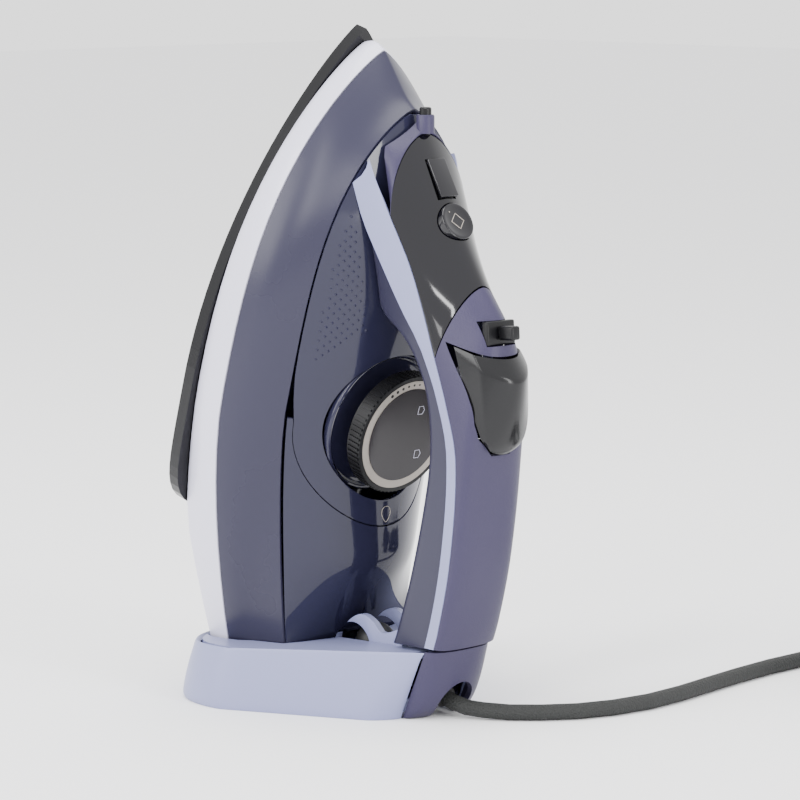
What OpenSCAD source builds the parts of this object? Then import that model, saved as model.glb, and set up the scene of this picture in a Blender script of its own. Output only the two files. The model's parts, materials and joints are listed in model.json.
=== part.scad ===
// A steam iron standing on its heel. The shells are worked out in the iron's own frame:
// l runs from the heel to the tip, w from the middle to the left, u up from the soleplate.
// stand() then leans that frame so that the iron rests on its heel, with +Z up, the sole
// towards -X and the handle towards +X. The heel, the cord and the plug are drawn upright.

/* [Overall] */
// Length from the heel to the tip of the soleplate
iron_l = 310; // [250:1:380]
// Width of the soleplate
iron_w = 126; // [104:1:156]
// Height from the soleplate to the top of the handle
iron_h = 141; // [116:1:172]
// Lean of the soleplate away from upright
lean = 16; // [12:1:20]
// Wall of the moulded shells
wall = 2.4; // [1.8:0.1:3]
// Gap left between two shells that meet
seam = 0.3; // [0.2:0.05:0.6]

/* [Soleplate] */
// Thickness of the soleplate
sole_t = 6; // [4:0.5:8]
// Radius of a steam vent
vent_r = 1.6; // [1:0.1:2.4]
// Height of the cast body on the soleplate
cast_h = 9; // [7:0.5:12]
// Radius of the tubular heating element
element_r = 3.5; // [2.5:0.25:4.5]
// Half the distance between the element's legs
element_w = 27; // [22:1:32]

/* [Temperature dial] */
// Outer radius of the dial's grip
dial_r = 27.5; // [22:0.5:30]
// Height of the dial's grip
dial_h = 9; // [6:0.5:12]
// Height of the dial's face above the soleplate
dial_face_u = 79; // [76:0.5:82]
// Ribs round the dial's grip
dial_ribs = 72; // [36:1:96]
// Radius of the dial's shaft
dial_shaft_r = 3; // [2:0.25:4]
// Radial clearance of a shaft that turns or slides in its bush
running = 0.05; // [0.02:0.01:0.1]

/* [Controls] */
// Radius of the round spray button
button_r = 8.5; // [7:0.25:10]
// Travel of the spray button
button_travel = 2.5; // [1:0.25:3]
// Width of the steam paddle
paddle_w = 32; // [26:1:33]
// Swing of the steam paddle in degrees
paddle_swing = 5; // [3:0.5:6]
// Travel of the steam slider to each side
slider_travel = 5; // [3:0.5:6]
// Opening of the filling door in degrees
door_swing = 70; // [30:5:80]
// Radius of the spray nozzle
nozzle_r = 2.6; // [2:0.1:3.4]

/* [Cord] */
// Diameter of the mains cord
cord_d = 7; // [6:0.25:8]
// Length of the tapered strain relief
relief_l = 48; // [36:1:56]

/* [Hidden] */

// The outline tables below are drawn for an iron of 310 x 126 x 141 and scaled from there.
kl = iron_l / 310;
kw = iron_w / 126;
ku = iron_h / 141;

// Colours
dark = [0.25, 0.25, 0.34];
violet = [0.33, 0.31, 0.43];
lavender = [0.64, 0.66, 0.77];
pale = [0.88, 0.87, 0.93];
black = [0.07, 0.07, 0.08];
metal = [0.7, 0.7, 0.72];
smoke = [0.3, 0.3, 0.42, 0.6];

// --- Frames and mesh helpers ------------------------------------------------------------
// Shift that brings the standing iron over the middle of its footprint
centre_x = -101.378;
module stand() translate([centre_x, 0, 0]) rotate([0, lean, 0]) children();
// Places a shape drawn with its +Z along the sole's up direction at a point of the iron's frame
module at(l, w, u, tilt = 0) stand() translate([u, -w, l]) rotate([0, 90 - tilt, 0]) children();
// A point of the iron's frame as the upright frame's x, y and z
function up_x(l, u) = centre_x + u * cos(lean) + l * sin(lean);
function up_z(l, u) = l * cos(lean) - u * sin(lean);
// A point [l, w, u] in the axes that stand() turns
function p3(l, w, u) = [u, -w, l];
// l of a point on the level plane z, at height u above the sole
function l_on(z, u) = (z + u * sin(lean)) / cos(lean);

function flat(g) = [for (row = g) for (p = row) p];
function strip(a, b, n, flip) = flip ? [[a, n + b, b], [a, n + a, n + b]]
    : [[a, b, n + b], [a, n + b, n + a]];
function patch(r, c, o, flip, wrap) = [for (i = [0:r - 2], j = [0:wrap ? c - 1 : c - 2])
    let (a = o + i * c + j, b = o + i * c + (j + 1) % c, d = a + c, e = b + c)
    each flip ? [[a, b, d], [b, e, d]] : [[a, d, b], [b, d, e]]];
// A shell between two grids of points with the same rows and columns
module sheet(p, q, wrap = false) {
    r = len(p);
    c = len(p[0]);
    n = r * c;
    i = floor((r - 1) / 2);
    j = floor((c - 1) / 3);
    out = cross(p[i][j + 1] - p[i][j], p[i + 1][j] - p[i][j]) * (p[i][j] - q[i][j]) > 0;
    rim = concat([for (k = [0:c - 1]) k], [for (k = [1:r - 1]) k * c + c - 1],
        [for (k = [c - 2:-1:0]) (r - 1) * c + k], [for (k = [r - 2:-1:1]) k * c]);
    edge = wrap
        ? concat([for (k = [0:c - 1]) each strip(k, (k + 1) % c, n, !out)],
            [for (k = [0:c - 1]) each strip((r - 1) * c + (k + 1) % c, (r - 1) * c + k, n, !out)])
        : [for (k = [0:len(rim) - 1]) each strip(rim[k], rim[(k + 1) % len(rim)], n, !out)];
    polyhedron(concat(flat(p), flat(q)),
        concat(patch(r, c, 0, !out, wrap), patch(r, c, n, out, wrap), edge));
}
// A closed solid through rings of points, with flat convex ends
module loft(rings) {
    r = len(rings);
    c = len(rings[0]);
    out = cross(rings[0][1] - rings[0][0], rings[1][0] - rings[0][0])
        * (rings[0][0] - rings[0][floor(c / 2)]) > 0;
    low = [for (k = [0:c - 1]) k];
    high = [for (k = [c - 1:-1:0]) (r - 1) * c + k];
    polyhedron(flat(rings), concat(patch(r, c, 0, !out, true),
        [out ? low : [for (k = low) c - 1 - k]],
        [out ? high : [for (k = [0:c - 1]) (r - 1) * c + k]]));
}

// --- The body's lines -------------------------------------------------------------------
wide_l = 150 * kl;
// A level is [half-width, tip, blunt power, round power, tail share, tail power, u]
function half(v, l, inset = 0) = let (w = v[0] * kw - inset, tip = v[1] * kl - inset)
    l >= wide_l
        ? w * pow(max(0, 1 - pow(min(1, (l - wide_l) / (tip - wide_l)), v[2])), v[3])
        : w * (1 - v[4] * pow((wide_l - l) / wide_l, v[5]));
SOLE = [63, 310, 1.95, 0.88, 0, 1, 0];
SKIRT_LOW = [60, 304, 2.4, 0.85, 0.5, 1.6, 6];
SKIRT_MID = [63, 307.5, 2.75, 0.85, 0.5, 1.6, 15];
SKIRT_TOP = [62.5, 304.5, 2.8, 0.85, 0.5, 1.6, 25];
SIDE = [60.5, 296.5, 2.9, 0.82, 0.48, 1.5, 34];
RIDGE = [55.5, 289, 3.1, 0.8, 0.45, 1.3, 42];
DECK = [47, 286, 3.6, 0.78, 0.33, 1.1, 50];
// How far a level climbs towards the heel and drops towards the tip
climb = [19, 16, 13, 29];
drop = [6, 6, 6, 8];
function tail(l) = l < wide_l ? pow((wide_l - l) / wide_l, 1.5) : 0;
function nose(l) = l > wide_l ? pow((l - wide_l) / (iron_l - wide_l), 2) : 0;
function level_u(v, k, l) = ku * (v[6] + climb[k] * tail(l) - drop[k] * nose(l));
sole_rear = iron_l - 222 * kl;
function skirt_low_u(l) = sole_t + seam + 0.31 * max(0, sole_rear - 3 - l);
deck_crown = 18 * ku;
function deck_edge_u(l) = level_u(DECK, 3, l);
function crown(l) = l > wide_l ? deck_crown * max(0, 1 - pow((l - wide_l) / (141 * kl), 2))
    : (deck_crown + 6 * ku * min(1, (wide_l - l) / (60 * kl)))
        * min(1, max(0, l - 36 * kl) / (50 * kl));
function deck_u(l, w) = let (h = max(1, half(DECK, l)))
    deck_edge_u(l) + crown(l) * (1 - pow(min(1, abs(w) / h), 2));
// Where the body ends inside the heel
body_z = 6;
function rear_l(u) = l_on(body_z, u);
COLS = 20;
function along(l0, l1, k) = l0 + (l1 - l0) * sin(90 * k / COLS);
// One row round the body from the rear left over the tip to the rear right
function round_row(v, inset, ends_u, uf) = let (l0 = rear_l(ends_u), l1 = v[1] * kl - inset)
    [for (k = [-COLS:COLS]) let (l = along(l0, l1, COLS - abs(k)))
        p3(l, (k < 0 ? 1 : -1) * (k == 0 ? 0 : half(v, l, inset)), uf[0] == 0
            ? skirt_low_u(l) : uf[0] == 1 ? (skirt_low_u(l) + level_u(SKIRT_TOP, 0, l)) / 2
            : level_u(v, uf[1], l) + uf[2])];
module skirt() color(pale) stand() sheet(
    [round_row(SKIRT_LOW, 0, 24 * ku, [0]), round_row(SKIRT_MID, 0, 31 * ku, [1]),
        round_row(SKIRT_TOP, 0, 38 * ku, [2, 0, 0])],
    [round_row(SKIRT_LOW, wall, 24 * ku, [0]), round_row(SKIRT_MID, wall, 31 * ku, [1]),
        round_row(SKIRT_TOP, wall, 38 * ku, [2, 0, 0])]);
// The cover behind the soleplate, between the lower edges of the skirt
function base_row(l, d) = [for (k = [-4:4])
    p3(l, half(SKIRT_LOW, l, wall + seam) * k / 4, skirt_low_u(l) + d)];
base_ls = steps(rear_l(28 * ku), sole_rear + 7, 6);
module base_cover() color(dark) stand() sheet([for (l = base_ls) base_row(l, wall)],
    [for (l = base_ls) base_row(l, 0)]);
module lower_body() color(dark) stand() sheet(
    [round_row(SKIRT_TOP, 0.2, 38.5 * ku, [2, 0, seam]), round_row(SIDE, 0, 44 * ku, [2, 1, 0]),
        round_row(RIDGE, 0, 50 * ku, [2, 2, 0]), round_row(DECK, 0, 69 * ku, [2, 3, 0])],
    [round_row(SKIRT_TOP, 0.2 + wall, 38.5 * ku, [2, 0, seam]),
        round_row(SIDE, wall, 44 * ku, [2, 1, 0]),
        round_row(RIDGE, wall, 50 * ku, [2, 2, -wall / 2]),
        round_row(DECK, wall * 0.6, 69 * ku, [2, 3, -wall])]);

// --- Soleplate and what it carries --------------------------------------------------------
sole_steps = 40;
function sole_side(inset) = [for (k = [0:sole_steps]) let (t = 180 * k / sole_steps,
    l = sole_rear + inset + (iron_l - sole_rear - 2 * inset) * (1 - cos(t)) / 2,
    r = max(0, (wide_l - l) / (wide_l - sole_rear - inset)),
    w = half(SOLE, l, inset) * pow(max(0, 1 - pow(r, 6)), 1 / 6))
    if (w > 0.02) [l, w]];
function sole_outline(inset) = let (s = sole_side(inset)) concat(s,
    [[iron_l - inset, 0]], [for (k = [len(s) - 1:-1:0]) [s[k][0], -s[k][1]]]);
// A plate with an outline of l and w, lying at height u
module plate(u, h, inset) stand() translate([u, 0, 0]) rotate([0, 90, 0])
    linear_extrude(h) polygon([for (p = sole_outline(inset)) [-p[0], -p[1]]]);
module drill(l, w, u, h, r) at(l, w, u) cylinder(h = h, r = r, $fn = 24);
vent_rows = [[292, 0], [276, 7], [258, 16], [238, 25], [216, 32], [192, 37], [168, 40],
    [144, 41], [120, 40]];
module soleplate() color(black) difference() {
    plate(0, sole_t, 0);
    for (v = vent_rows, s = v[1] == 0 ? [1] : [-1, 1])
        drill(v[0] * kl, s * v[1] * kw, -1, sole_t + 2, vent_r);
    for (k = [0:4]) drill((262 - 12 * k) * kl, 0, -1, sole_t + 2, vent_r);
}
module sole_casting() color(metal) plate(sole_t + seam / 2, cast_h, 9);
element_u = sole_t + seam / 2 + cast_h + element_r + 0.1;
element_front = 226 * kl;
element_rear = 104 * kl;
module heating_element() color([0.45, 0.42, 0.4]) {
    for (s = [-1, 1]) stand() translate([element_u, s * element_w, element_rear])
        cylinder(h = element_front - element_rear + 0.2, r = element_r - 0.01, $fn = 24);
    at(element_front, 0, element_u) rotate([0, 0, 90])
        rotate_extrude(angle = 180, $fn = 48) translate([element_w, 0])
            circle(r = element_r, $fn = 24);
}
cover_u = element_u + element_r + 0.2;
cover_t = 1.6;
dial_l = 148 * kl;
module chamber_cover() color(metal) difference() {
    plate(cover_u, cover_t, 20);
    drill(dial_l, 0, cover_u - 1, cover_t + 2, 7);
}
module thermostat() color([0.8, 0.78, 0.7]) {
    drill(dial_l, 0, cast_top + 0.2, cover_u - cast_top - 1, 10);
    drill(dial_l, 0, cover_u - 0.8, 8, 6);
}
cast_top = sole_t + seam / 2 + cast_h;
module thermal_fuse() color([0.85, 0.85, 0.8]) at(dial_l + 34 * kl, 0, cast_top + 2.7)
    rotate([0, 90, 0]) cylinder(h = 16, r = 2.4, $fn = 20);
module sole_gasket() color([0.5, 0.15, 0.12]) difference() {
    plate(cast_top + 0.1, 3, 10);
    plate(cast_top, 4, 13);
}

// --- Tank ---------------------------------------------------------------------------------
tank_base_u = 36 * ku;
function base_half(l) = half(SIDE, l, wall + 5);
base_rear = 62 * kl;
base_front = 262 * kl;
function base_side() = [for (k = [0:24]) let (l = base_rear + (base_front - base_rear) * k / 24)
    [l, base_half(l)]];
shaft_tube_r = 6;
valve_l = 206 * kl;
valve_tube_r = 4;
module tank_base() color(smoke) difference() {
    stand() translate([tank_base_u, 0, 0]) rotate([0, 90, 0]) linear_extrude(2)
        polygon(concat([for (p = base_side()) [-p[0], -p[1]]],
            [for (k = [24:-1:0]) let (p = base_side()[k]) [-p[0], p[1]]]));
    drill(dial_l, 0, tank_base_u - 1, 4, shaft_tube_r + 0.1);
    drill(valve_l, 0, tank_base_u - 1, 4, valve_tube_r + 0.1);
}
// The tear-shaped cover: straight from the deck's edge, round behind the dial
cover_r = 43.5 * kw;
blend_l = 40 * kl;
function tear_half(l) = l < dial_l ? sqrt(max(0, cover_r * cover_r - pow(dial_l - l, 2)))
    : min(half(DECK, l) - wall * 0.6, half(DECK, l) - (half(DECK, dial_l) - cover_r)
        * pow(max(0, 1 - (l - dial_l) / blend_l), 2));
bowl_r = dial_r + 5;
// Half of the cover's outline, from behind the dial to the tip, by the angle round the dial
TEAR = 32;
function tear(k) = let (t = 180 * k / TEAR) t <= 90
    ? [dial_l - cover_r * cos(t), cover_r * sin(t)]
    : let (l = dial_l + (DECK[1] * kl - 1 - dial_l) * sin(90 * (t - 90) / 90)) [l, tear_half(l)];
function tear_full(k) = k <= TEAR ? tear(k) : let (p = tear(2 * TEAR - k)) [p[0], -p[1]];
function bowl_at(k) = let (a = 180 * k / TEAR) [dial_l - bowl_r * cos(a), bowl_r * sin(a)];
function cover_row(f, down, shrink) = [for (k = [0:2 * TEAR - 1])
    let (a = bowl_at(k), b = tear_full(k), m = b - [dial_l, 0], g = 1 - shrink / norm(m),
        q = [dial_l, 0] + m * g, p = a + (q - a) * f)
    p3(p[0], p[1], deck_u(p[0], p[1]) - down)];
module tank_cover() color(smoke) stand() sheet(
    [for (f = [0:0.25:1]) cover_row(f, 0, seam)],
    [for (f = [0:0.25:1]) cover_row(f, wall, seam)], wrap = true);
// The rear of the tank, from the cover back to the heel
REAR = 16;
rear_join = dial_l + 2 * kl;
function rear_inner(t) = let (a = abs(t)) a < 0.75
    ? [dial_l - (cover_r + seam) * cos(120 * a), sign(t) * (cover_r + seam) * sin(120 * a)]
    : let (l = dial_l + (rear_join - dial_l) * (a - 0.75) / 0.25)
        [l, sign(t) * (tear_half(l) + seam)];
tank_end = rear_l(80 * ku);
function rear_outer(t) = let (a = abs(t), w0 = half(DECK, tank_end, 1)) a < 0.35
    ? [tank_end, sign(t) * w0 * a / 0.35]
    : let (l = tank_end + (rear_join - tank_end) * (a - 0.35) / 0.65)
        [l, sign(t) * (half(DECK, l) - wall * 0.6 - seam)];
function rear_row(f, down) = [for (k = [-REAR:REAR]) let (t = k / REAR,
    p = rear_inner(t) + (rear_outer(t) - rear_inner(t)) * f)
    p3(p[0], p[1], deck_u(p[0], p[1]) - down)];
module tank_rear() color(smoke) difference() {
    stand() sheet([for (f = steps(0, 1, 9)) rear_row(f, -seam)],
        [for (f = steps(0, 1, 9)) rear_row(f, wall - seam)]);
    arch_block(seam);
}

// --- Temperature dial -----------------------------------------------------------------------
bowl_low = 58 * ku;
module dial_bowl() color(smoke) at(dial_l, 0, 0) rotate_extrude($fn = 96) polygon([
    [shaft_tube_r + 0.1, bowl_low], [bowl_r - 4, bowl_low], [bowl_r - 0.5, bowl_low + 4],
    [bowl_r - 0.5, deck_u(dial_l, bowl_r) + 4], [bowl_r - 2.5, deck_u(dial_l, bowl_r) + 4],
    [bowl_r - 2.5, bowl_low + 5], [bowl_r - 5, bowl_low + 2.4], [shaft_tube_r + 0.1, bowl_low + 2.4]]);
module shaft_tube() color(pale) at(dial_l, 0, 0) difference() {
    translate([0, 0, cover_u + 10]) cylinder(h = bowl_low + 3 - cover_u - 10, r = shaft_tube_r, $fn = 48);
    translate([0, 0, cover_u]) cylinder(h = bowl_low, r = dial_shaft_r + running, $fn = 48);
}
grip_low = dial_face_u - dial_h;
module dial_shaft() color(metal) at(dial_l, 0, cover_u + 8.2)
    cylinder(h = grip_low - cover_u - 8.2 + 2, r = dial_shaft_r, $fn = 48);
module dial_grip() color(black) at(dial_l, 0, grip_low) difference() {
    union() {
        cylinder(h = dial_h - 1, r = dial_r - 0.6, $fn = 96);
        for (k = [0:dial_ribs - 1]) rotate([0, 0, 360 * k / dial_ribs])
            translate([dial_r - 1.2, -0.45, 0.8]) cube([1.2, 0.9, dial_h - 2.4]);
    }
    translate([0, 0, -1]) cylinder(h = 3, r = dial_shaft_r, $fn = 48);
    translate([0, 0, dial_h - 2.5]) cylinder(h = 2, r = dial_r - 2.4, $fn = 96);
}
module dial_ring() color([0.76, 0.72, 0.69]) at(dial_l, 0, dial_face_u - 2.5) difference() {
    cylinder(h = 1.6, r = dial_r - 2.5, $fn = 96);
    translate([0, 0, -1]) cylinder(h = 4, r = dial_r * 0.78, $fn = 96);
}
module dial_disc() color([0.29, 0.28, 0.29]) at(dial_l, 0, dial_face_u - 2.5)
    cylinder(h = 1.9, r = dial_r * 0.78 - 0.05, $fn = 96);

// --- Handle -------------------------------------------------------------------------------
// Top of the nose, the panel and the handle along the middle: [l, u]
TOP = [[50, 134], [60, 138], [80, 141], [110, 141], [139, 138], [165, 134], [190, 130],
    [204, 126], [216, 119], [228, 103], [248, 82], [277, 55], [290, 42]];
// Upper edge of the trim: [l, u] and [l, half-width]
EDGE_U = [[40, 133], [71, 136], [79, 137], [115, 135], [158, 126], [180, 113], [198, 100],
    [213, 90], [229, 79], [247, 64], [269, 47], [290, 43]];
EDGE_W = [[40, 18], [198, 18], [213, 18.5], [229, 20], [247, 23], [269, 25.5], [290, 28]];
// Lower edge of the trim
LOW_U = [[40, 127], [79, 131], [115, 129], [158, 120], [180, 107], [195, 94], [209, 80],
    [225, 67], [240, 56], [257, 45.5]];
LOW_W = [[40, 17.6], [195, 18], [209, 20.5], [225, 24], [240, 27.5], [257, 31.5]];
// Roof of the finger gap
ROOF = [[40, 107], [79, 110], [100, 111], [130, 110], [150, 108], [165, 104], [180, 97],
    [190, 88], [198, 76]];
gap_front = 200 * kl;
handle_z = 31.5;
function top_u(l) = ku * lookup(l / kl, TOP);
function edge_u(l) = ku * lookup(l / kl, EDGE_U);
function edge_w(l) = kw * lookup(l / kl, EDGE_W);
function low_u(l) = ku * lookup(l / kl, LOW_U);
function low_w(l) = kw * lookup(l / kl, LOW_W);
function roof_u(l) = ku * lookup(l / kl, ROOF);
// The sections lean back towards the front of the handle
function slant(s) = kl * 32 * min(1, max(0, (s / kl - 120) / 80));
function steps(a, b, n) = [for (k = [0:n]) a + (b - a) * k / n];
// Roundness of a section: flat-topped on the handle, pointed at the front
function round_n(s) = s < 190 * kl ? 2.6 : max(1.75, 2.6 - 0.85 * (s / kl - 190) / 30);
ARC = 8;
// A point of the upper shells: s where the section meets the middle, t from -1 to 1 across
function crest(s, t, inset) = let (n = 2 / round_n(s), a = 90 * abs(t), v = pow(cos(a), n),
    x = pow(sin(a), n), lb = s - slant(s), ub = edge_u(lb), tp = top_u(s) - inset,
    l = s - slant(s) * (1 - v))
    p3(l, sign(t) * (edge_w(lb) - inset) * x, ub + (tp - ub) * v);
function crest_row(s, inset) = [for (k = [-ARC:ARC]) crest(s, k / ARC, inset)];
module crest_shell(s0, s1, n) stand() sheet([for (s = steps(s0, s1, n)) crest_row(s, 0)],
    [for (s = steps(s0, s1, n)) crest_row(s, wall)]);
handle_rear = l_on(handle_z + 0.6, 141 * ku);
panel_rear = 227 * kl;
panel_front = 278 * kl;
slot_l = 211 * kl;
slot_u = 118 * ku;
slot_tilt = 20;
slot_half = slider_travel + 3.4;
shell_ls = concat(steps(handle_rear, 160 * kl, 9), steps(166 * kl, panel_rear - seam, 10));
module handle_shell() color(violet) difference() {
    stand() sheet([for (s = shell_ls) crest_row(s, 0)], [for (s = shell_ls) crest_row(s, wall)]);
    // Opening under the paddle
    stand() translate([100 * ku, 0, 0]) rotate([0, 90, 0]) linear_extrude(60)
        polygon(paddle_outline(0.4));
    // Seat of the slider's track
    at(slot_l, 0, slot_u, slot_tilt) translate([-5.4, -slot_half - 0.2, -20])
        cube([10.8, 2 * slot_half + 0.4, 40]);
}
module control_panel() color(black) difference() {
    crest_shell(panel_rear, panel_front, 8);
    at(button_l, 0, button_u, button_tilt) translate([0, 0, -8])
        cylinder(h = 20, r = button_r + 0.4, $fn = 64);
    at(door_l, 0, door_u, button_tilt) translate([-door_len / 2 - 0.4, -door_half - 0.4, -8])
        cube([door_len + 0.8, 2 * door_half + 0.8, 20]);
    at(nozzle_l, 0, nozzle_u, nozzle_tilt) translate([0, 0, -1])
        cylinder(h = 12, r = nozzle_r + 1.4, $fn = 48);
}
// The nose housing runs from the panel's front edge down to the deck's edge
NOSE = 10;
nose_l = 283;
nose_rise = 1.8;
function nose_front(t) = let (a = abs(t), l = (nose_l - 25 * pow(a, 1.4)) * kl)
    a < 0.6 ? let (h = half(DECK, l) - 2.2) p3(l, sign(t) * h * pow(a / 0.6, 0.8),
        deck_u(l, h * pow(a / 0.6, 0.8)) + nose_rise)
    : let (f = (a - 0.6) / 0.4, l0 = (nose_l - 25 * pow(0.6, 1.4)) * kl, lb = panel_front
        - slant(panel_front) + 3 * kl, lf = l0 + (lb - l0) * f, h0 = half(DECK, l0) - 2.2,
        h1 = edge_w(lb) - 2.2) p3(lf, sign(t) * (h0 + (h1 - h0) * f),
        (deck_u(l0, h0) + nose_rise) * (1 - f) + edge_u(lb) * f);
function nose_row(f, inset) = [for (k = [-NOSE:NOSE]) let (t = k / NOSE,
    a = crest(panel_front + seam, t, inset), b = nose_front(t),
    c = [b[0] - inset * 0.3, b[1] * (1 - inset / 40), b[2] - inset])
    a + (c - a) * f + [(1 - abs(t)) * 3 * sin(180 * f), 0, 0]];
nose_wall = 1.4;
module nose_housing() color(violet) difference() {
    stand() sheet([for (f = steps(0, 1, 4)) nose_row(f, 0)],
        [for (f = steps(0, 1, 4)) nose_row(f, nose_wall)]);
    at(nozzle_l, 0, nozzle_u, nozzle_tilt) translate([0, 0, -1])
        cylinder(h = 12, r = nozzle_r + 1.4, $fn = 48);
}
nozzle_l = 278 * kl;
nozzle_u = 53.5 * ku;
nozzle_tilt = 106;
module nozzle_holder() color(violet) at(nozzle_l, 0, nozzle_u, nozzle_tilt) difference() {
    cylinder(h = 8, r = nozzle_r + 1.3, $fn = 48);
    translate([0, 0, 1]) cylinder(h = 9, r = nozzle_r + 0.03, $fn = 48);
}
module spray_nozzle() color(black) at(nozzle_l, 0, nozzle_u, nozzle_tilt) difference() {
    translate([0, 0, 1.2]) cylinder(h = 10, r = nozzle_r, $fn = 48);
    translate([0, 0, 6]) cylinder(h = 9, r = 0.8, $fn = 24);
}
button_l = 248 * kl;
button_u = 82 * ku;
button_tilt = 45;
button_skirt = 7;
module spray_button() color(black) at(button_l, 0, button_u, button_tilt)
    translate([0, 0, -button_skirt + 1]) cylinder(h = button_skirt, r = button_r, $fn = 64);
pump_top = -button_skirt - 6;
pump_h = 8;
module spray_pump() color(pale) at(button_l, 0, button_u, button_tilt)
    translate([0, 0, pump_top - pump_h]) cylinder(h = pump_h, r = 6, $fn = 32);
module button_spring() color(metal) at(button_l, 0, button_u, button_tilt)
    translate([0, 0, pump_top + 0.1]) difference() {
        cylinder(h = -button_skirt + 1 - pump_top - 0.2, r = 4, $fn = 32);
        translate([0, 0, -1]) cylinder(h = 20, r = 3, $fn = 32);
    }
door_len = 18;
door_half = 5;
door_l = 263 * kl;
door_u = 68.5 * ku;
module fill_door() color(black) at(door_l, 0, door_u, button_tilt)
    translate([-door_len / 2, -door_half, -0.6]) cube([door_len, 2 * door_half, 2.2]);
module fill_funnel() color(pale) at(door_l, 0, door_u, button_tilt) translate([0, 0, -9])
    difference() {
        translate([-door_len / 2, -door_half + 1, 0]) cube([door_len, 2 * door_half - 2, 7]);
        translate([-door_len / 2 + 1.2, -door_half + 2.2, -1])
            cube([door_len - 2.4, 2 * door_half - 4.4, 9]);
    }
// The trims close the sides of the handle
trim_end = 255 * kl;
function trim_row(s, l, inset) = [for (f = [0.02, 0.98])
    let (le = l + f * 12 * kl * max(0, l / kl - 195) / 62)
    p3(le, s * (low_w(l) + (edge_w(le) - low_w(l)) * f + seam - inset),
        low_u(l) + (edge_u(le) - low_u(l)) * f)];
trim_ls = steps(handle_rear + 1, trim_end, 18);
module trim(s) stand() sheet([for (l = trim_ls) trim_row(s, l, 0)],
    [for (l = trim_ls) trim_row(s, l, wall - seam)]);
module trim_left() color(lavender) trim(1);
module trim_right() color(lavender) trim(-1);
// The trough under the trims: finger side of the handle and the front column
function trough_low(l, w) = l < gap_front ? roof_u(l) : deck_u(l, w) + 0.4;
function trough_row(l, inset) = [for (k = [-5:5]) let (t = k / 5, a = abs(t),
    w = (low_w(l) - 1.2 - inset) * (a < 0.8 ? a / 0.8 : 1), v = a < 0.8 ? 0 : (a - 0.8) / 0.2,
    lo = trough_low(l, w) + inset + (a > 0.55 && a <= 0.8 ? 1.5 : 0), hi = low_u(l) - seam)
    p3(l, sign(t) * (w - (a > 0.75 && a < 0.9 ? 0.8 : 0)), lo + (hi - lo) * v)];
trough_ls = concat(steps(handle_rear, 190 * kl, 10), [196 * kl, 202 * kl],
    steps(208 * kl, 244 * kl, 4));
module handle_lower() color(dark) stand() sheet([for (l = trough_ls) trough_row(l, 0)],
    [for (l = trough_ls) trough_row(l, wall)]);

// --- Slider, paddle and valve ---------------------------------------------------------------
module slider_track() color(black) at(slot_l, 0, slot_u, slot_tilt)
    translate([-5.2, -slot_half, -1]) cube([10.4, 2 * slot_half, 3.4]);
module steam_slider() color(black) at(slot_l, 0, slot_u, slot_tilt) {
    translate([-3, -2.6, 2.7]) cube([6, 5.2, 4]);
    translate([-2, -1.3, 6.7]) cube([4, 2.6, 4.5]);
}
pin_l = 168 * kl;
pin_u = 127 * ku;
pin_r = 1.5;
module paddle_pin() color(metal) stand() translate([pin_u, -12, pin_l])
    rotate([-90, 0, 0]) cylinder(h = 24, r = pin_r, $fn = 32);
// Lines across the paddle: [l middle, l edge, half-width, u middle, u edge]
PADDLE = [[162.5, 166, 9, 136, 134.5], [165, 169, 12.5, 137.3, 133.2], [172, 175, 14.5, 138, 130.3],
    [181, 184, 15.5, 138, 126], [190, 194, 16, 137, 121.5], [196, 200.5, 16, 136, 118.5],
    [199.5, 202, 16, 132, 117.3], [203, 203, 15.8, 127.8, 115.5]];
function paddle_row(v, inset) = let (back = v[0] > 196 ? 2 : 0)
    [for (k = [-6:6]) let (t = k / 6)
        p3(kl * (v[0] + (v[1] - v[0]) * t * t) - inset * back / 2,
            (paddle_w / 32 * v[2] - inset * 0.3) * t,
            ku * (v[3] - (v[3] - v[4]) * pow(abs(t), 2.3)) - inset)];
function paddle_side(g) = concat([for (k = [6:-1:0]) let (v = PADDLE[k])
    [-kl * v[1] - (k == 6 ? g : 0), paddle_w / 32 * v[2] + g]],
    [[-kl * 162 + g, paddle_w / 32 * 5.5]]);
function paddle_outline(g) = let (p = paddle_side(g)) concat([[-kl * 203 - g, 16 * paddle_w / 32 + g]],
    p, [for (k = [len(p) - 1:-1:0]) [p[k][0], -p[k][1]]], [[-kl * 203 - g, -16 * paddle_w / 32 - g]]);
module steam_paddle() color(black) {
    stand() sheet([for (v = PADDLE) paddle_row(v, 0)], [for (v = PADDLE) paddle_row(v, 2.2)]);
    for (s = [-1, 1]) stand() translate([pin_u, s * 5.5 - 1.5, pin_l]) difference() {
        translate([-3, 0, -3]) cube([11, 3, 6]);
        translate([0, -1, 0]) rotate([-90, 0, 0])
            cylinder(h = 5, r = pin_r + running, $fn = 32);
    }
}
module paddle_spring() color(metal) at(184 * kl, 0, 118.5 * ku) difference() {
    cylinder(h = 15 * ku, r = 4, $fn = 32);
    translate([0, 0, -1]) cylinder(h = 20 * ku, r = 3, $fn = 32);
}
module steam_pump() color(pale) at(184 * kl, 0, 104 * ku) cylinder(h = 14, r = 8, $fn = 40);
module valve_tube() color(pale) at(valve_l, 0, 0) difference() {
    translate([0, 0, cover_u + 2]) cylinder(h = 55 * ku - cover_u, r = valve_tube_r, $fn = 40);
    translate([0, 0, cover_u]) cylinder(h = 60, r = 1.6, $fn = 40);
}
module valve_rod() color(metal) at(valve_l, 0, cover_u + 2)
    cylinder(h = 57 * ku - cover_u, r = 1.5, $fn = 32);

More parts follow.
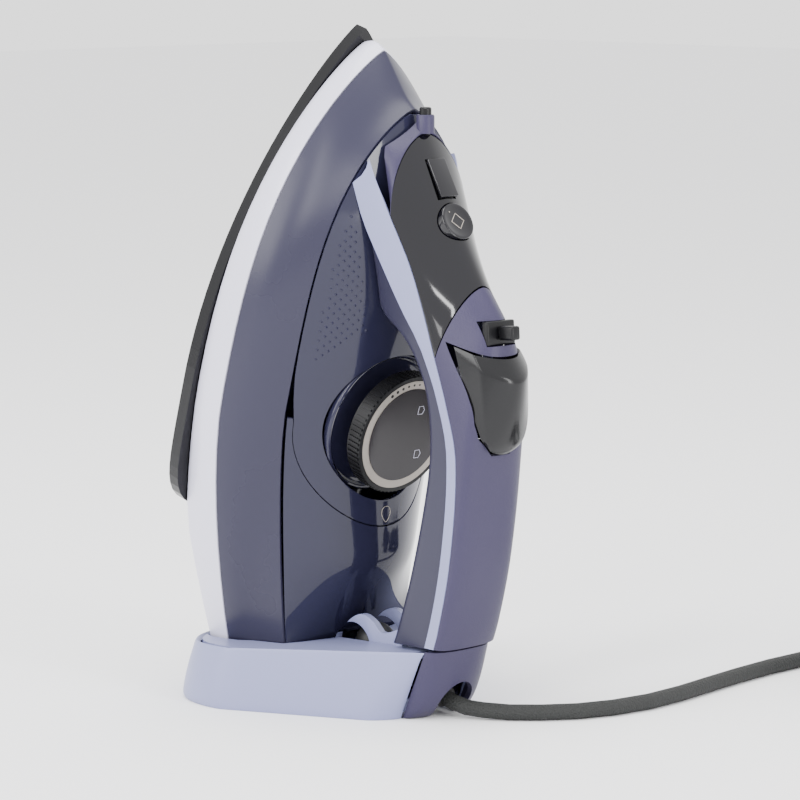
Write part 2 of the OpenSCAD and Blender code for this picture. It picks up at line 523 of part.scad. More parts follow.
// --- Heel, in the upright frame ---------------------------------------------------------------
// The rim climbs from the sole's side to the handle
rim_z = 25;
rim_climb = 0.24;
heel_front = 18 * ku;
heel_rear_x = 146 * ku;
cap_half = 18 * kw;
function rim_at(x) = 1 + rim_climb * (x - heel_front) / (heel_rear_x - heel_front);
function heel_half(x) = let (n = x / ku)
    kw * (n < 62 ? 65 * pow(max(0, 1 - pow((62 - n) / 44, 3)), 0.32) : 65 - 0.52 * (n - 62));
function heel_end(z) = heel_rear_x - ku * 14 * (1 - min(1, z / (rim_z * (1 + rim_climb))));
HEEL = 24;
// The last part of the side turns in to meet the rear cap
function turn_in(x, x1) = let (r = (x - (x1 - 9)) / 9) r <= 0 ? 1 : sqrt(max(0, 1 - r * r));
// Outline of the heel: from the rear left round the front to the rear right
function heel_row(z, inset, x1) = [for (k = [-HEEL:HEEL]) let (f = abs(k) / HEEL,
    x = (heel_front + inset) + (x1 - heel_front - inset) * (1 - cos(180 * f)) / 2,
    side = max(0.5, heel_half(max(heel_front + 0.15, x - inset * 0.7)) - inset),
    w = k == 0 ? 0 : cap_half + 0.4 < side ? cap_half + 0.4 + (side - cap_half - 0.4)
        * turn_in(x, x1) : side)
    [centre_x + x, (k > 0 ? -1 : 1) * w, z * rim_at(x)]];
module heel_tray() color(lavender) sheet(
    [heel_row(0, 1, heel_end(0)), heel_row(3, 0, heel_end(3)), heel_row(14, 2, heel_end(16)),
        heel_row(rim_z, 5, heel_end(31))],
    [heel_row(0, 1 + wall, heel_end(0) - wall), heel_row(3, wall, heel_end(3) - wall),
        heel_row(14, 2 + wall, heel_end(16) - wall),
        heel_row(rim_z, 5 + wall, heel_end(31) - wall)]);
// Outline of the body at height z, grown by 0.5
function at_z(v, k, z) = let (l = l_on(z, level_u(v, k, l_on(z, v[6] * ku + 18 * ku))))
    [up_x(l, level_u(v, k, l)), half(v, l) + 0.5];
function body_side(z) = let (la = l_on(z, 22 * ku), ub = level_u(DECK, 3, l_on(z, 69 * ku)))
    concat([[up_x(la, skirt_low_u(la)) - 0.6, half(SKIRT_LOW, la) + 0.5]],
        [at_z(SKIRT_MID, 0, z), at_z(SKIRT_TOP, 0, z), at_z(SIDE, 1, z), at_z(RIDGE, 2, z),
            at_z(DECK, 3, z)],
        [for (f = [0.8:-0.2:0.2]) let (l = l_on(z, ub + 18 * ku * (1 - f * f)), w = half(DECK, l) * f)
            [up_x(l, deck_u(l, w)) + 0.8, w + 0.5]]);
ledge_z = 28.5;
module heel_ledge() color(lavender) difference() {
    intersection() {
        linear_extrude(40) polygon([for (p = heel_row(rim_z, 5.2 + wall, heel_end(31) - 5))
            [p[0], p[1]]]);
        translate([centre_x + heel_front, -80, rim_z - 2.2])
            rotate([0, -atan(rim_z * rim_climb / (heel_rear_x - heel_front)), 0])
                cube([140, 160, 2]);
    }
    linear_extrude(50) polygon(concat(body_side(ledge_z),
        [for (k = [len(body_side(ledge_z)) - 1:-1:0])
            [body_side(ledge_z)[k][0], -body_side(ledge_z)[k][1]]]));
    arch_block(seam);
}
module heel_plate() color([0.5, 0.51, 0.6]) linear_extrude(3)
    polygon([for (p = heel_row(0, 2 + wall + 2, heel_end(0) - 8)) [p[0], p[1]]]);
ball_x = 97;
ball_z = 26;
ball_r = 9;
relief_tilt = 22;
ARCH = [[70, 3.3], [70, 20], [84, 30], [93, 38], [100, 40.6], [107, 38], [112, 34], [125, 38],
    [125, 3.3]];
// The ball sits between the arch's two cheeks
arch_gap = 15.6;
module arch_block(g) translate([centre_x, 11 + g, 0]) rotate([90, 0, 0])
    linear_extrude(22 + 2 * g) polygon([for (p = ARCH) [ku * (p[0] + (p[0] < 97 ? -g : g)),
        p[1] > 10 ? p[1] + g : p[1]]]);
module cord_arch() color(lavender) difference() {
    arch_block(0);
    translate([centre_x + ball_x * ku - 3, 20, ball_z - 1]) rotate([90, 0, 0])
        cylinder(h = 40, r = 11, $fn = 64);
    translate([centre_x, -arch_gap / 2, 6]) cube([200, arch_gap, 60]);
}
function cap_back(z) = ku * lookup(z, [[0, 138], [4, 145], [10, 149], [20, 152.5], [31.5, 154.5]]);
CAP = 8;
function cap_row(z, inset) = let (x0 = heel_end(z) + seam, x1 = cap_back(z) - inset)
    [for (k = [-CAP:CAP]) let (a = 90 * k / CAP) [centre_x + x0 + (x1 - x0) * pow(cos(a), 0.8),
        sign(k) * (cap_half - inset) * pow(abs(sin(a)), 0.8), z]];
cap_zs = [0.3, 4, 10, 20, handle_z];
module rear_cap() color(violet) difference() {
    sheet([for (z = cap_zs) cap_row(z, 0)], [for (z = cap_zs) cap_row(z, wall)]);
    translate([centre_x + 100, 0, 7]) rotate([0, 90, 0]) cylinder(h = 80, r = 9.5, $fn = 64);
}
module terminal_block() color(pale) translate([centre_x + 43 * ku, -14, 3.2]) cube([15, 28, 12]);
module cord_clamp() color([0.2, 0.2, 0.22]) translate([centre_x + 61 * ku, -10, 3.2])
    cube([7, 20, 9]);
module casing_screws() color(metal) for (s = [-1, 1], x = [44, 64])
    translate([centre_x + x * ku, s * 50 * kw, 3.1]) cylinder(h = 12, r = 2, $fn = 24);
module strain_relief() color(black) translate([centre_x + ball_x * ku, 0, ball_z])
    rotate([0, 90 + relief_tilt, 0]) {
        sphere(r = ball_r, $fn = 48);
        translate([0, 0, 4]) cylinder(h = relief_l - 4, r1 = 6.5, r2 = 5, $fn = 48);
        for (k = [0:4]) translate([0, 0, 24 + 4.5 * k]) cylinder(h = 2, r = 6.8 - 0.2 * k, $fn = 48);
    }

// --- Cord, coil and plug, lying on the floor --------------------------------------------------
cord_r = cord_d / 2;
// Points of the cord from the strain relief to the coil
ROUTE = [[139, 0, 8.6], [145, 0.3, 6.6], [152, 2, 5], [158, 6, 4.2], [167, 13, 3.6],
    [177, 23, 3.6], [186, 36, 3.6], [192, 52, 3.6], [195, 72, 3.6], [194, 94, 3.6],
    [191, 116, 3.6], [188, 140, 3.6], [186, 165, 3.6], [186, 190, 3.6], [187, 212, 3.6],
    [187.5, 233, 3.6]];
TAIL = [[282.5, 242, 9.6], [282.6, 231, 9.6], [281, 221, 11.5], [278.4, 212, 15],
    [275.6, 204, 18], [274, 195, 19]];
coil_x = 235;
coil_y = 235;
coil_in = 30;
coil_out = 51;
coil_h = 14.4;
SIDES = 10;
function unit(v) = v / norm(v);
function tangent(p, k) = unit(p[min(k + 1, len(p) - 1)] - p[max(k - 1, 0)]);
function tube_ring(p, k, r) = let (t = tangent(p, k), a = unit(cross([0, 0, 1], t)), b = cross(t, a))
    [for (j = [0:SIDES - 1]) p[k] + r * (cos(360 * j / SIDES) * a + sin(360 * j / SIDES) * b)];
module tube(p, r) loft([for (k = [0:len(p) - 1]) tube_ring(p, k, r)]);
module cord() color([0.18, 0.18, 0.19]) translate([centre_x, 0, 0]) tube(ROUTE, cord_r);
module cord_tail() color([0.18, 0.18, 0.19]) translate([centre_x, 0, 0]) tube(TAIL, cord_r);
module cord_coil() color([0.18, 0.18, 0.19]) translate([centre_x + coil_x, coil_y, 0])
    rotate_extrude($fn = 64) polygon([[coil_in, 2], [coil_in + 2, 0], [coil_out - 2, 0],
        [coil_out, 2], [coil_out, coil_h - 2], [coil_out - 2, coil_h], [coil_in + 2, coil_h],
        [coil_in, coil_h - 2]]);
module cord_tie() color(black) translate([centre_x + coil_x, coil_y, 0]) rotate([0, 0, 90])
    translate([coil_in - 1.2, -5, 0.05]) difference() {
        cube([coil_out - coil_in + 2.4, 10, coil_h + 1.1]);
        translate([1.1, -1, -1]) cube([coil_out - coil_in + 0.2, 12, coil_h + 1.1]);
    }
plug_x = 274;
plug_y = 197;
plug_z = 19;
module plug_body() color(black) translate([centre_x + plug_x, plug_y, plug_z]) rotate([90, 0, 0])
    rotate_extrude($fn = 64) polygon([[0, 0], [5, 0], [7, 14], [12, 20], [18.6, 24], [18.6, 42],
        [0, 42]]);
module plug_pins() color(metal) for (s = [-1, 1])
    translate([centre_x + plug_x + s * 9.5, plug_y - 42, plug_z]) rotate([90, 0, 0])
        cylinder(h = 19, r = 2.4, $fn = 32);

soleplate();
sole_casting();
heating_element();
chamber_cover();
thermostat();
thermal_fuse();
sole_gasket();
skirt();
base_cover();
lower_body();
tank_base();
tank_rear();
tank_cover();
dial_bowl();
shaft_tube();
dial_shaft();
dial_grip();
dial_ring();
dial_disc();
nose_housing();
nozzle_holder();
spray_nozzle();
control_panel();
fill_door();
fill_funnel();
spray_button();
button_spring();
spray_pump();
handle_shell();
handle_lower();
trim_left();
trim_right();
slider_track();
steam_slider();
steam_paddle();
paddle_pin();
paddle_spring();
steam_pump();
valve_tube();
valve_rod();
heel_tray();
heel_ledge();
heel_plate();
cord_arch();
rear_cap();
terminal_block();
cord_clamp();
casing_screws();
strain_relief();
cord();
cord_coil();
cord_tail();
cord_tie();
plug_body();
plug_pins();
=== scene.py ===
# %% [markdown]
# # A steam iron standing on its heel
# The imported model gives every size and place. This lesson loads it as a fixed frame, lays the cord, and then
# builds each shell of the iron as a smooth skin that follows the same curves as the solid underneath.

import json
import math

import bmesh
import bpy
from mathutils import Matrix, Vector


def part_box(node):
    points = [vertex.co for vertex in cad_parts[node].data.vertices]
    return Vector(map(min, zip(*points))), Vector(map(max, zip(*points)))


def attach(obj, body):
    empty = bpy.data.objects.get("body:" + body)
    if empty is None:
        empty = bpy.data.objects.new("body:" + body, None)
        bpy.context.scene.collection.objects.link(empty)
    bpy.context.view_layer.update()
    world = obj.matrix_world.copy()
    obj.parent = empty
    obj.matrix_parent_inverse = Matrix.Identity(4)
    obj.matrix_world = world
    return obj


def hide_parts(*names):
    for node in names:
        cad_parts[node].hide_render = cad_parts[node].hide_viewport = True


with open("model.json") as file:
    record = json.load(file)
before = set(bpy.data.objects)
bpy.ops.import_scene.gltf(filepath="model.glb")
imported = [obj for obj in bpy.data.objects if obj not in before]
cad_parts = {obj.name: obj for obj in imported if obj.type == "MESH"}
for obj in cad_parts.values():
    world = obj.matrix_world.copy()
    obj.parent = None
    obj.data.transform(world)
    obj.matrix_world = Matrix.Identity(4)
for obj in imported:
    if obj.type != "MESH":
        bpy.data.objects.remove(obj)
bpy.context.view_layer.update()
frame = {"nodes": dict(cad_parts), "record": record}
MM = 0.001

# %% [markdown]
# The iron leans back on its heel, so its shells are easiest to think of in the iron's own directions: l from
# heel to tip, w from the middle to the left, u up from the sole. Two helpers turn millimetres in those
# directions, or in the upright ones that the heel uses, into metres in the scene.

# %% The iron's own directions
LEAN = math.radians(16)
HEEL_FRONT = 18
CENTRE_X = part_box("heel_tray")[0][0] - HEEL_FRONT * MM


def iron(l, w, u):
    x = u * math.cos(LEAN) + l * math.sin(LEAN)
    return Vector((CENTRE_X + x * MM, -w * MM, (l * math.cos(LEAN) - u * math.sin(LEAN)) * MM))


def upright(x, y, z):
    return Vector((CENTRE_X + x * MM, y * MM, z * MM))


def placed(l, w, u, tilt=0):
    """A matrix whose +Z points up from the sole, tilted towards the tip by tilt degrees."""
    turn = Matrix.Rotation(LEAN, 4, "Y")
    tip_turn = Matrix.Rotation(math.radians(90 - tilt), 4, "Y")
    shift = Matrix.Translation(Vector((u, -w, l)) * MM)
    return Matrix.Translation((CENTRE_X, 0, 0)) @ turn @ shift @ tip_turn


print("centre of the footprint", round(CENTRE_X, 4))

# %% [markdown]
# A long lens far away keeps the iron's sides nearly parallel, as in a studio shot. The camera comes first, with
# the cord, because the cord has to stay near what the camera sees.

# %% Camera
AZIMUTH = math.radians(46)
ELEVATION = math.radians(8)
camera_data = bpy.data.cameras.new("studio_camera")
camera_data.lens = 155.25
camera_data.clip_end = 20
camera = bpy.data.objects.new("studio_camera", camera_data)
bpy.context.scene.collection.objects.link(camera)
back = Vector((math.sin(AZIMUTH) * math.cos(ELEVATION), -math.cos(AZIMUTH) * math.cos(ELEVATION),
               math.sin(ELEVATION)))
camera.location = upright(1183.3, -1034.2, 344.9)
camera.rotation_euler = back.to_track_quat("Z", "Y").to_euler()
bpy.context.scene.camera = camera
print("camera at", [round(v, 3) for v in camera.location])

# %% [markdown]
# A finish is a shader with small faults in it: moulded plastic has a fine grain, gloss plastic a slight
# orange peel, and cloth a weave. One function makes the grain and each material only names its numbers.

# %% A moulded finish
def finish(name, colour, rough, grain=900.0, depth=0.08, vary=0.06, coat=0.0, metal=0.0, shine=0.5):
    mat = bpy.data.materials.new(name)
    mat.use_nodes = True
    nodes, links = mat.node_tree.nodes, mat.node_tree.links
    shader = nodes["Principled BSDF"]
    shader.inputs["Metallic"].default_value = metal
    shader.inputs["Coat Weight"].default_value = coat
    shader.inputs["Coat Roughness"].default_value = 0.06
    shader.inputs["Specular IOR Level"].default_value = shine
    place = nodes.new("ShaderNodeTexCoord")
    cloud = nodes.new("ShaderNodeTexNoise")
    cloud.inputs["Scale"].default_value = 14
    cloud.inputs["Detail"].default_value = 5
    links.new(place.outputs["Object"], cloud.inputs["Vector"])
    tint = nodes.new("ShaderNodeMix")
    tint.data_type = "RGBA"
    tint.inputs[6].default_value = (*[c * (1 - vary) for c in colour], 1)
    tint.inputs[7].default_value = (*[min(1, c * (1 + vary)) for c in colour], 1)
    links.new(cloud.outputs["Fac"], tint.inputs[0])
    links.new(tint.outputs[2], shader.inputs["Base Color"])
    gloss = nodes.new("ShaderNodeMapRange")
    gloss.inputs["To Min"].default_value = max(0.02, rough - 0.05)
    gloss.inputs["To Max"].default_value = rough + 0.06
    links.new(cloud.outputs["Fac"], gloss.inputs["Value"])
    links.new(gloss.outputs["Result"], shader.inputs["Roughness"])
    grit = nodes.new("ShaderNodeTexNoise")
    grit.inputs["Scale"].default_value = grain
    grit.inputs["Detail"].default_value = 2
    links.new(place.outputs["Object"], grit.inputs["Vector"])
    bump = nodes.new("ShaderNodeBump")
    bump.inputs["Strength"].default_value = depth
    bump.inputs["Distance"].default_value = 0.0004
    links.new(grit.outputs["Fac"], bump.inputs["Height"])
    links.new(bump.outputs["Normal"], shader.inputs["Normal"])
    return mat


MATERIALS = {
    "ceramic_sole": finish("ceramic_sole", (0.006, 0.006, 0.007), 0.2, shine=0.25),
    "cast_aluminium": finish("cast_aluminium", (0.5, 0.51, 0.53), 0.45, grain=500, depth=0.3, metal=1),
    "element_steel": finish("element_steel", (0.35, 0.3, 0.26), 0.35, metal=1),
    "ceramic_white": finish("ceramic_white", (0.8, 0.79, 0.74), 0.6),
    "silicone_seal": finish("silicone_seal", (0.4, 0.08, 0.05), 0.6),
    "pale_plastic": finish("pale_plastic", (0.62, 0.61, 0.74), 0.32, depth=0.04, vary=0.02, coat=0.2),
    "slate_plastic": finish("slate_plastic", (0.022, 0.021, 0.042), 0.28, depth=0.05, shine=0.3),
    "violet_plastic": finish("violet_plastic", (0.034, 0.029, 0.064), 0.4, grain=1400, depth=0.35, shine=0.25),
    "lavender_plastic": finish("lavender_plastic", (0.22, 0.235, 0.4), 0.36, depth=0.04, vary=0.03),
    "smoke_tank": finish("smoke_tank", (0.016, 0.016, 0.036), 0.07, grain=60, depth=0.03, shine=0.35),
    "gloss_black": finish("gloss_black", (0.002, 0.0018, 0.004), 0.06, grain=80, depth=0.02, shine=0.5),
    "satin_black": finish("satin_black", (0.007, 0.007, 0.008), 0.2, depth=0.08, shine=0.3),
    "black_plastic": finish("black_plastic", (0.004, 0.004, 0.005), 0.32, depth=0.08, shine=0.25),
    "black_rubber": finish("black_rubber", (0.005, 0.005, 0.005), 0.55, grain=1200, depth=0.2),
    "dial_silver": finish("dial_silver", (0.36, 0.325, 0.29), 0.35, metal=0.35),
    "dial_glass": finish("dial_glass", (0.024, 0.021, 0.024), 0.12, grain=80, depth=0.02, shine=0.3),
    "spring_steel": finish("spring_steel", (0.55, 0.55, 0.57), 0.25, metal=1),
    "plated_brass": finish("plated_brass", (0.66, 0.65, 0.6), 0.22, metal=1),
}
print("finishes", len(MATERIALS))

# %% [markdown]
# The flex is covered with braided textile. Real braid is two sets of threads that cross; here the bump is a
# fine field of cells laid over the grain, and the black varies a little in tone in soft clouds.

# %% Braided finish
def braid(name):
    mat = finish(name, (0.012, 0.013, 0.0125), 0.75, grain=700, depth=0.3, vary=0.35)
    nodes, links = mat.node_tree.nodes, mat.node_tree.links
    place = nodes["Texture Coordinate"]
    cells = nodes.new("ShaderNodeTexVoronoi")
    cells.inputs["Scale"].default_value = 1100
    links.new(place.outputs["Object"], cells.inputs["Vector"])
    weave = nodes.new("ShaderNodeBump")
    weave.inputs["Strength"].default_value = 0.8
    weave.inputs["Distance"].default_value = 0.0006
    links.new(cells.outputs["Distance"], weave.inputs["Height"])
    links.new(nodes["Bump"].outputs["Normal"], weave.inputs["Normal"])
    links.new(weave.outputs["Normal"], nodes["Principled BSDF"].inputs["Normal"])
    return mat


MATERIALS["braided_cord"] = braid("braided_cord")
SLOT_OF = {s["node"]: s["material_slot"] for s in frame["record"]["subparts"]}
BODY_OF = {n: body for body, names in frame["record"]["behaviour"]["bodies"].items() for n in names}


def settle(obj, *nodes):
    """The piece takes its body, its slot and its finish from the CAD node that it stands for."""
    obj.data.materials.clear()
    obj.data.materials.append(MATERIALS[SLOT_OF[nodes[0]]])
    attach(obj, BODY_OF[nodes[0]])
    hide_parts(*nodes)
    print(obj.name, "stands for", ", ".join(nodes))
    return obj


# %% [markdown]
# The flex is one long curve with a round section: it leaves the strain relief, lies across the surface, winds
# into a flat coil two layers deep, and ends in the plug. Only the loose stretches are placed one by one.

# %% The flex
CORD_D = 7
ROUTE = [(139, 0, 8.6), (145, 0.3, 6.6), (152, 2, 5), (158, 6, 4.2), (167, 13, 3.6), (177, 23, 3.6),
         (186, 36, 3.6), (192, 52, 3.6), (195, 72, 3.6), (194, 94, 3.6), (191, 116, 3.6),
         (188, 140, 3.6), (186, 165, 3.6), (186, 190, 3.6), (187, 212, 3.6), (187.5, 233, 3.6)]
TAIL = [(282.5, 242, 9.6), (282.6, 231, 9.6), (281, 221, 11.5), (278.4, 212, 15), (275.6, 204, 18),
        (274, 196, 19)]
COIL_X, COIL_Y = 235, 235
COIL_TURNS = 6.5
COIL_WIDE, COIL_NARROW = 47.5, 33.8


def coil_point(turn):
    """Three turns in along the surface, then three and a half out on top of them."""
    low = turn < 3
    share = turn / 3 if low else (turn - 3) / 3.5
    radius = COIL_WIDE + (COIL_NARROW - COIL_WIDE) * (share if low else 1 - share)
    rise = min(1, max(0, (turn - 2.7) / 0.6))
    angle = math.radians(180 - 360 * turn)
    z = 3.7 + 6.9 * rise - (1.0 * max(0, turn - 6.2) / 0.3)
    return (COIL_X + radius * math.cos(angle), COIL_Y + radius * math.sin(angle), z)


steps_a_turn = 24
coil = [coil_point(k / steps_a_turn) for k in range(1, int(COIL_TURNS * steps_a_turn))]
flex_points = [upright(*p) for p in ROUTE + coil + TAIL]
flex_data = bpy.data.curves.new("flex", "CURVE")
flex_data.dimensions = "3D"
flex_data.bevel_depth = CORD_D / 2 * MM
flex_data.bevel_resolution = 4
flex_data.use_fill_caps = True
run = flex_data.splines.new("POLY")
run.points.add(len(flex_points) - 1)
for point, place in zip(run.points, flex_points):
    point.co = (*place, 1)
run.use_smooth = True
flex = bpy.data.objects.new("flex", flex_data)
bpy.context.scene.collection.objects.link(flex)
settle(flex, "cord", "cord_coil", "cord_tail")

# %% [markdown]
# Each shell of the body is a skin between level curves. A level is widest at mid-length, closes in a blunt
# point at the tip, and narrows a little towards the heel. These few numbers are the whole shape of the body.

# %% Level curves of the body
IRON_L, WIDE_L, WALL, SEAM = 310, 150, 2.4, 0.3
# half-width, tip, bluntness, roundness, narrowing, its power, height, climb to the heel, drop to the tip
SKIRT_LOW = (60, 304, 2.4, 0.85, 0.5, 1.6, 6, 0, 0)
SKIRT_MID = (63, 307.5, 2.75, 0.85, 0.5, 1.6, 15, 0, 0)
SKIRT_TOP = (62.5, 304.5, 2.8, 0.85, 0.5, 1.6, 25, 19, 6)
SIDE = (60.5, 296.5, 2.9, 0.82, 0.48, 1.5, 34, 16, 6)
RIDGE = (55.5, 289, 3.1, 0.8, 0.45, 1.3, 42, 13, 6)
DECK = (47, 286, 3.6, 0.78, 0.33, 1.1, 50, 29, 8)


def half(level, l, inset=0):
    width, tip = level[0] - inset, level[1] - inset
    if l >= WIDE_L:
        share = min(1, (l - WIDE_L) / (tip - WIDE_L))
        return width * max(0, 1 - share ** level[2]) ** level[3]
    return width * (1 - level[4] * ((WIDE_L - l) / WIDE_L) ** level[5])


def level_u(level, l):
    tail = ((WIDE_L - l) / WIDE_L) ** 1.5 if l < WIDE_L else 0
    nose = ((l - WIDE_L) / (IRON_L - WIDE_L)) ** 2 if l > WIDE_L else 0
    return level[6] + level[7] * tail - level[8] * nose


def skirt_low_u(l):
    return 6.3 + 0.31 * max(0, 85 - l)


def skirt_mid_u(l):
    return (skirt_low_u(l) + level_u(SKIRT_TOP, l)) / 2


def crown(l):
    if l > WIDE_L:
        return 18 * max(0, 1 - ((l - WIDE_L) / 141) ** 2)
    return (18 + 6 * min(1, (WIDE_L - l) / 60)) * min(1, max(0, l - 36) / 50)


def deck_u(l, w):
    reach = max(1, half(DECK, l))
    return level_u(DECK, l) + crown(l) * (1 - min(1, abs(w) / reach) ** 2)


def on_level(z, u):
    """l of the point at height z in the scene and u above the sole."""
    return (z + u * math.sin(LEAN)) / math.cos(LEAN)


print("widest", 2 * half(SKIRT_MID, WIDE_L), "mm")

# %% [markdown]
# A skin is a grid of points with a little thickness. Solidify gives it the moulded wall, and a subdivision
# surface rounds it. Creases on the rim keep the parting lines crisp, as a mould does.

# %% Skins
def add_modifier(obj, kind, **values):
    modifier = obj.modifiers.new(kind.lower(), kind)
    for key, value in values.items():
        setattr(modifier, key, value)
    return modifier


def bake_modifiers(obj, sharp=38):
    """Turn the modifiers into plain mesh and mark the edges that stay sharp."""
    graph = bpy.context.evaluated_depsgraph_get()
    mesh = bpy.data.meshes.new_from_object(obj.evaluated_get(graph))
    obj.modifiers.clear()
    obj.data = mesh
    mesh.polygons.foreach_set("use_smooth", [True] * len(mesh.polygons))
    mesh.set_sharp_from_angle(angle=math.radians(sharp))


def cut(obj, *cutters):
    """Take the cutters' shapes out of a finished skin."""
    for cutter in cutters:
        add_modifier(obj, "BOOLEAN", object=cutter, operation="DIFFERENCE", solver="EXACT")
    bpy.context.view_layer.update()
    bake_modifiers(obj)
    for cutter in cutters:
        bpy.data.objects.remove(cutter)


def mesh_object(name, points, faces):
    mesh = bpy.data.meshes.new(name)
    mesh.from_pydata([tuple(p) for p in points], [], faces)
    obj = bpy.data.objects.new(name, mesh)
    bpy.context.scene.collection.objects.link(obj)
    return obj


def skin(name, rows, wall=WALL, ring=False, smooth=2, crease=0.9, inside=None, folds=(), lip=None):
    """A walled skin through rows of points. inside is a point that the wall faces away from, folds are the
    columns that stay crisp, and lip is a crisp row."""
    count = len(rows[0])
    last = count if ring else count - 1
    faces = [(i * count + j, i * count + (j + 1) % count, (i + 1) * count + (j + 1) % count,
              (i + 1) * count + j) for i in range(len(rows) - 1) for j in range(last)]
    obj = mesh_object(name, [p for row in rows for p in row], faces)
    inside = inside or iron(150, 0, 20)
    facing = sum(f.area * f.normal.dot(f.center - inside) for f in obj.data.polygons)
    if facing < 0:
        obj.data.flip_normals()
    crisp = obj.data.attributes.new("crease_edge", "FLOAT", "EDGE")
    for edge in obj.data.edges:
        (i, a), (j, b) = (divmod(v, count) for v in edge.vertices)
        if (a == b and a in folds) or (i == j == lip):
            crisp.data[edge.index].value = 0.85
    add_modifier(obj, "SOLIDIFY", thickness=wall * MM, offset=-1, edge_crease_inner=crease,
                 edge_crease_outer=crease, edge_crease_rim=crease)
    add_modifier(obj, "SUBSURF", levels=smooth, render_levels=smooth)
    bpy.context.view_layer.update()
    bake_modifiers(obj)
    return obj


def spread(start, end, count):
    return [start + (end - start) * k / count for k in range(count + 1)]


print("skin tools ready")

# %% [markdown]
# The pale skirt closes the hot sole off from the hand. The dark body rises from it to the deck's edge, with a
# soft ridge along its side. Both run as one strip from the rear left, round the tip, to the rear right.

# %% Skirt and lower body
COLUMNS = 28


def round_body(level, height, rear_u, inset=0):
    start, end = on_level(6, rear_u), level[1] - inset
    row = []
    for k in range(-COLUMNS, COLUMNS + 1):
        l = start + (end - start) * math.sin(math.radians(90) * (COLUMNS - abs(k)) / COLUMNS)
        w = 0 if k == 0 else half(level, l, inset)
        row.append(iron(l, w if k < 0 else -w, height(l)))
    return row


skirt = skin("skirt_shell", [
    round_body(SKIRT_LOW, skirt_low_u, 24), round_body(SKIRT_MID, skirt_mid_u, 31),
    round_body(SKIRT_TOP, lambda l: level_u(SKIRT_TOP, l), 38)])
settle(skirt, "skirt")
body_side = skin("body_side", [
    round_body(SKIRT_TOP, lambda l: level_u(SKIRT_TOP, l) + SEAM, 38.5, 0.2),
    round_body(SIDE, lambda l: level_u(SIDE, l), 44),
    round_body(RIDGE, lambda l: level_u(RIDGE, l), 50),
    round_body(DECK, lambda l: level_u(DECK, l), 69)])
settle(body_side, "lower_body")

# %% [markdown]
# The water tank is smoked clear plastic, domed towards the handle. Its cover is a tear drop: round behind the
# dial and drawn out to the tip. Rows from the dial's bowl to that outline follow the dome.

# %% Tank cover and tank rear
DIAL_L, COVER_R, BOWL_R = 148, 43.5, 32.5
TEAR = 40


def tear_half(l):
    if l < DIAL_L:
        return math.sqrt(max(0, COVER_R ** 2 - (DIAL_L - l) ** 2))
    blend = max(0, 1 - (l - DIAL_L) / 40) ** 2
    return min(half(DECK, l) - 0.5, half(DECK, l) - (half(DECK, DIAL_L) - COVER_R) * blend)


def tear_point(k):
    if k > TEAR:
        l, w = tear_point(2 * TEAR - k)
        return l, -w
    angle = math.pi * k / TEAR
    if angle <= math.pi / 2:
        return DIAL_L - COVER_R * math.cos(angle), COVER_R * math.sin(angle)
    l = DIAL_L + (DECK[1] - 1.3 - DIAL_L) * math.sin(angle - math.pi / 2)
    return l, tear_half(l)


def cover_row(share):
    row = []
    for k in range(2 * TEAR):
        angle = math.pi * k / TEAR
        l0, w0 = DIAL_L - BOWL_R * math.cos(angle), BOWL_R * math.sin(angle)
        l1, w1 = tear_point(k)
        l, w = l0 + (l1 - l0) * share, w0 + (w1 - w0) * share
        row.append(iron(l, w, deck_u(l, w)))
    return row


cover = skin("tank_cover_shell", [cover_row(f) for f in spread(0, 0.995, 8)], ring=True)
settle(cover, "tank_cover")
REAR_JOIN = 150
TANK_END = on_level(6, 80)


def rear_inner(t):
    side, a = math.copysign(1, t), abs(t)
    if a < 0.75:
        angle = math.radians(120 * a)
        return DIAL_L - (COVER_R + SEAM) * math.cos(angle), side * (COVER_R + SEAM) * math.sin(angle)
    l = DIAL_L + (REAR_JOIN - DIAL_L) * (a - 0.75) / 0.25
    return l, side * (tear_half(l) + SEAM)


def rear_outer(t):
    side, a = math.copysign(1, t), abs(t)
    if a < 0.35:
        return TANK_END, side * half(DECK, TANK_END, 1) * a / 0.35
    l = TANK_END + (REAR_JOIN - TANK_END) * (a - 0.35) / 0.65
    return l, side * (half(DECK, l) - 0.5 - SEAM)


def rear_row(share):
    row = []
    for k in range(-20, 21):
        l0, w0 = rear_inner(k / 20)
        l1, w1 = rear_outer(k / 20)
        l, w = l0 + (l1 - l0) * share, w0 + (w1 - w0) * share
        row.append(iron(l, w, deck_u(l, w) + SEAM))
    return row


ARCH = [(70, 3.3), (70, 20), (84, 30), (93, 38), (100, 40.6), (107, 38), (112, 34), (125, 38), (125, 3.3)]


def prism(name, outline, y0, y1):
    """A block whose outline is given in the upright x and z."""
    count = len(outline)
    points = [upright(x, y, z) for y in (y0, y1) for x, z in outline]
    sides = [(k, (k + 1) % count, count + (k + 1) % count, count + k) for k in range(count)]
    return mesh_object(name, points, sides + [tuple(range(count))[::-1], tuple(range(count, 2 * count))])


def tidy_normals(obj):
    work = bmesh.new()
    work.from_mesh(obj.data)
    bmesh.ops.recalc_face_normals(work, faces=work.faces)
    work.to_mesh(obj.data)
    work.free()
    return obj


rear = skin("tank_rear_shell", [rear_row(f) for f in spread(0, 1, 10)])
ARCH_HALF, BALL_X = 11, 97
arch_notch = [(x + (-SEAM if x < BALL_X else SEAM), z + SEAM) for x, z in ARCH]
cut(rear, tidy_normals(prism("cutter", arch_notch, -ARCH_HALF - SEAM, ARCH_HALF + SEAM)))
settle(rear, "tank_rear")

# %% [markdown]
# The handle, the control panel and the nose are one flowing surface cut by two joints. Its sections are
# rounded on the handle and turn pointed at the front, where they also lean back.

